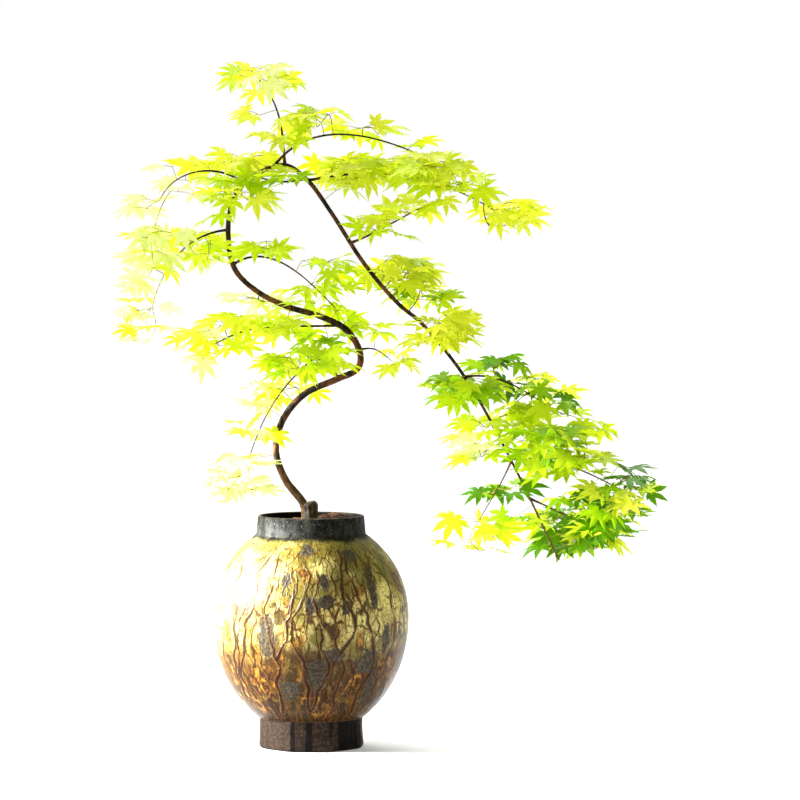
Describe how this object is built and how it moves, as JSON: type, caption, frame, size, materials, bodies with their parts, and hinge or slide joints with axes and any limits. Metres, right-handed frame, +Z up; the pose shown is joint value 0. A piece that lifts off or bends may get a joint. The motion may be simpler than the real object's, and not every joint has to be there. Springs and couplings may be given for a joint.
{
  "type": "potted bonsai tree",
  "caption": "Slender Japanese maple trained as a cascading bonsai, its lobed leaves in thin open layers, rooted in a round footed jar with a drip glaze.",
  "frame": {"origin": "centre of the flat underside of the jar's foot, which stands on the surface", "axes": "+Z up, +X towards the side that the cascade falls to, -Y towards the viewer of the plant's front"},
  "size_m": [0.5761, 0.2048, 0.7216],
  "materials": {
    "glaze": "gloss",
    "soil": "matte",
    "bark": "matte",
    "leaf": "matte"
  },
  "bodies": {
    "root": {"bough_cascade_drop": "bark", "bough_cascade_low": "bark", "bough_cascade_mid": "bark", "bough_cascade_out": "bark", "bough_hang": "bark", "bough_hang_drop": "bark", "bough_left_long": "bark", "bough_left_mid": "bark", "bough_left_top": "bark", "bough_loop": "bark", "bough_low_left": "bark", "bough_low_right": "bark", "bough_mid_right": "bark", "bough_right_twig": "bark", "bough_top_right": "bark", "cascade_lower": "bark", "cascade_upper": "bark", "jar": "glaze", "leader": "bark", "leaves_cascade_drop": "leaf", "leaves_cascade_far": "leaf", "leaves_cascade_inner": "leaf", "leaves_cascade_inner_low": "leaf", "leaves_cascade_low": "leaf", "leaves_cascade_mid": "leaf", "leaves_cascade_out": "leaf", "leaves_cascade_top": "leaf", "leaves_crown_tip": "leaf", "leaves_hang_mid": "leaf", "leaves_hang_tip": "leaf", "leaves_hang_top": "leaf", "leaves_leader": "leaf", "leaves_left_drop": "leaf", "leaves_left_mid": "leaf", "leaves_left_mid_out": "leaf", "leaves_left_top": "leaf", "leaves_left_top_out": "leaf", "leaves_left_under": "leaf", "leaves_loop_tip": "leaf", "leaves_loop_top": "leaf", "leaves_low_left_near": "leaf", "leaves_low_left_tip": "leaf", "leaves_low_right": "leaf", "leaves_mid_pad": "leaf", "leaves_mid_right": "leaf", "leaves_mid_right_tip": "leaf", "leaves_right_twig": "leaf", "leaves_short_left": "leaf", "leaves_shoulder": "leaf", "leaves_shoulder_low": "leaf", "leaves_top_right_mid": "leaf", "leaves_top_right_near": "leaf", "leaves_top_right_tip": "leaf", "soil": "soil", "trunk_arch": "bark", "trunk_back_run": "bark", "trunk_elbow": "bark", "trunk_foot": "bark", "trunk_left_sweep": "bark", "trunk_low_bend": "bark"}
  },
  "joints": []
}
